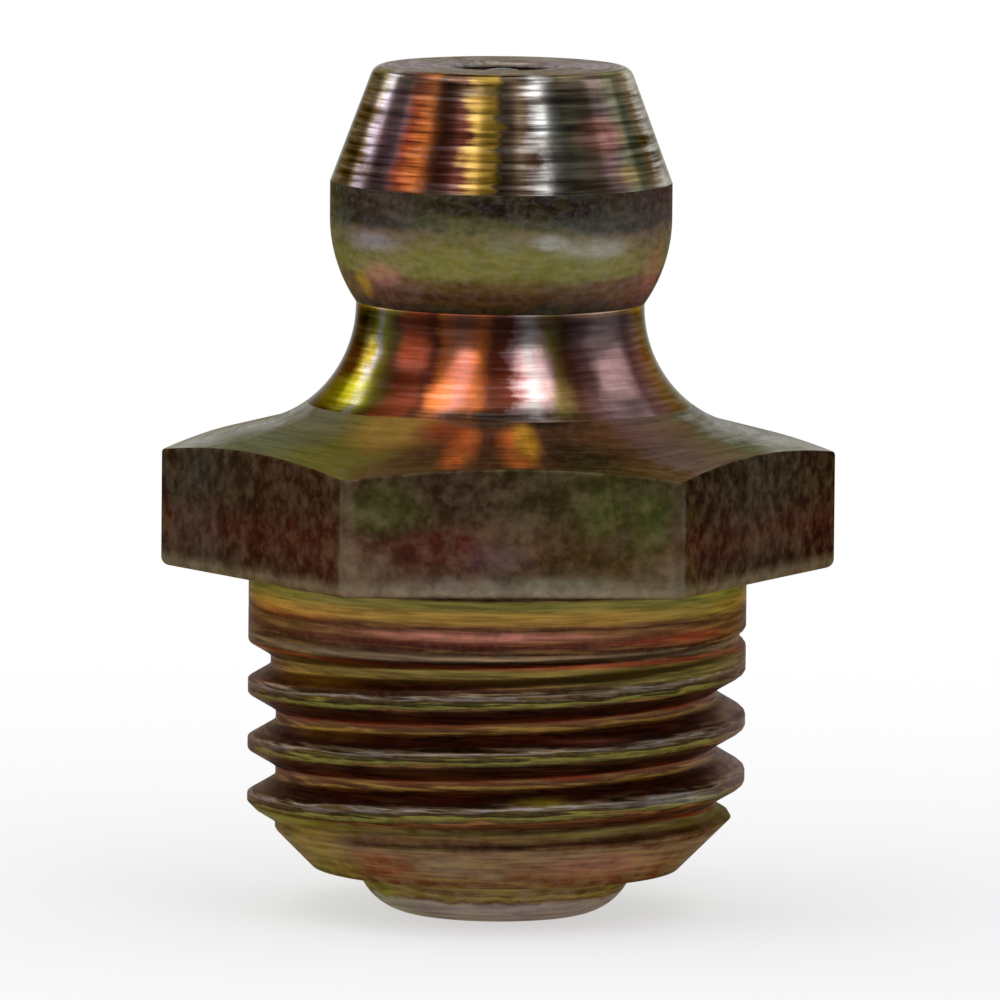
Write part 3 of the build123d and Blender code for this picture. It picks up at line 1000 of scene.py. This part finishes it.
def hang_lamp(name, start, end, width, radiance):
    """A rectangular lamp from one point to another, that faces the origin and is hidden from the camera.

    Its power is radiance x pi x its area.
    """
    lamp = bpy.data.lights.new(name, "AREA")
    lamp.shape = "RECTANGLE"
    lamp.size, lamp.size_y = (end - start).length, width
    lamp.energy = radiance * math.pi * lamp.size * lamp.size_y
    holder = bpy.data.objects.new(name, lamp)
    bpy.context.scene.collection.objects.link(holder)
    along = (end - start).normalized()
    centre = (start + end) / 2
    away = centre - along * centre.dot(along)
    away.normalize()
    side = away.cross(along)
    holder.matrix_world = Matrix.Translation(centre) @ Matrix((along, side, away)).transposed().to_4x4()
    holder.visible_camera = False


def studio_world():
    """A dim room with a white backdrop behind the nipple and a white ceiling, as metal mirrors it, an
    even light on matt surfaces, and plain white to the camera.
    """
    world = bpy.data.worlds.new("studio")
    world.use_nodes = True
    world.cycles.sampling_method = "NONE"
    tree = world.node_tree
    tree.nodes.clear()
    looking = add(tree, "TexCoord").outputs["Generated"]
    apart = add(tree, "SeparateXYZ", [looking]).outputs
    behind = add(tree, "Math", (apart["X"], BEHIND_LEAN, apart["Y"]), "MULTIPLY_ADD")
    backdrop = add(tree, "MapRange", (behind, *BEHIND, ROOM_GLOW, 1), interpolation_type="SMOOTHSTEP")
    ceiling = add(tree, "MapRange", (apart["Z"], *OVERHEAD), interpolation_type="SMOOTHSTEP")
    mirrored = add(tree, "Math", (backdrop, ceiling), "MAXIMUM")
    camera, shiny = background_rays(tree)
    level = add(tree, "Mix", {"Factor": shiny, "A": ROOM_LIGHT, "B": mirrored})
    strength = add(tree, "Math", (level, camera), "MAXIMUM")
    background = add(tree, "Background", {"Color": (1, 1, 1, 1), "Strength": strength})
    add(tree, "OutputWorld", {"Surface": background})
    return world


class NIPPLE_OT_stage(bpy.types.Operator):
    """Pale floor, white backdrop, soft strip lamps and the camera"""

    bl_idname = "nipple.stage"
    bl_label = "Stage"

    def execute(self, context):
        scene = context.scene
        settings = scene.nipple_stage
        camera = bpy.data.objects.new("camera", bpy.data.cameras.new("camera"))
        scene.collection.objects.link(camera)
        back = direction(settings.azimuth, settings.elevation)
        turned = (-back).to_track_quat("-Z", "Y").to_matrix().to_4x4()
        right = turned.col[0].to_3d()
        target = Vector((0, 0, AIM_HEIGHT)) + right * AIM_ASIDE
        stand = Matrix.Translation(target + back * settings.distance)
        camera.matrix_world = stand @ turned @ Matrix.Rotation(settings.roll, 4, "Z")
        camera.data.sensor_width = SENSOR
        camera.data.lens = SENSOR * settings.distance / settings.picture_width
        camera.data.clip_start, camera.data.clip_end = CLIP
        scene.camera = camera
        scene.view_settings.view_transform = "Standard"

        rings = np.array(FLOOR_RINGS)[:, None] * FLOOR_RADIUS
        angle = np.linspace(0, 2 * np.pi, FLOOR_COLUMNS, endpoint=False)
        points = round_axis(rings, angle, BODY_LOW.z)
        under = [0, 0, FLOOR_THICKNESS]
        points = np.vstack([points[:1] - under, points])
        middle = np.array([0, 0, BODY_LOW.z])
        floor = surface("floor", points[::-1], tips=[middle, middle - under])
        floor.data.materials.append(pale_floor())
        for name, (start, end, width, radiance) in LAMPS.items():
            start, end = (direction(*map(math.radians, place)) * LAMP_DISTANCE for place in (start, end))
            hang_lamp(name, start, end, width * MM, radiance)
        scene.world = studio_world()
        return {"FINISHED"}


class NIPPLE_PT_panel(bpy.types.Panel):
    """Sizes, and a button for each piece"""

    bl_label = "Grease nipple"
    bl_space_type = "VIEW_3D"
    bl_region_type = "UI"
    bl_category = "Nipple"

    def draw(self, context):
        for operator in OPERATORS:
            self.layout.operator(operator.bl_idname)
        for group_name, group in GROUPS.items():
            for name in group.__annotations__:
                self.layout.prop(getattr(context.scene, group_name), name)


GROUPS = {"nipple_sizes": NippleSizes, "nipple_tints": NippleTints, "nipple_stage": StageSettings}
OPERATORS = (NIPPLE_OT_stage, NIPPLE_OT_body, NIPPLE_OT_ball, NIPPLE_OT_spring)
CLASSES = (*GROUPS.values(), *OPERATORS, NIPPLE_PT_panel)


def register():
    for kind in CLASSES:
        bpy.utils.register_class(kind)
    for name, group in GROUPS.items():
        setattr(bpy.types.Scene, name, PointerProperty(type=group))


def unregister():
    for name in GROUPS:
        delattr(bpy.types.Scene, name)
    for kind in reversed(CLASSES):
        bpy.utils.unregister_class(kind)


def main():
    """Builds every piece and the stage."""
    register()
    bpy.ops.nipple.stage()
    bpy.ops.nipple.body()
    bpy.ops.nipple.ball()
    bpy.ops.nipple.spring()


if __name__ == "__main__":
    main()
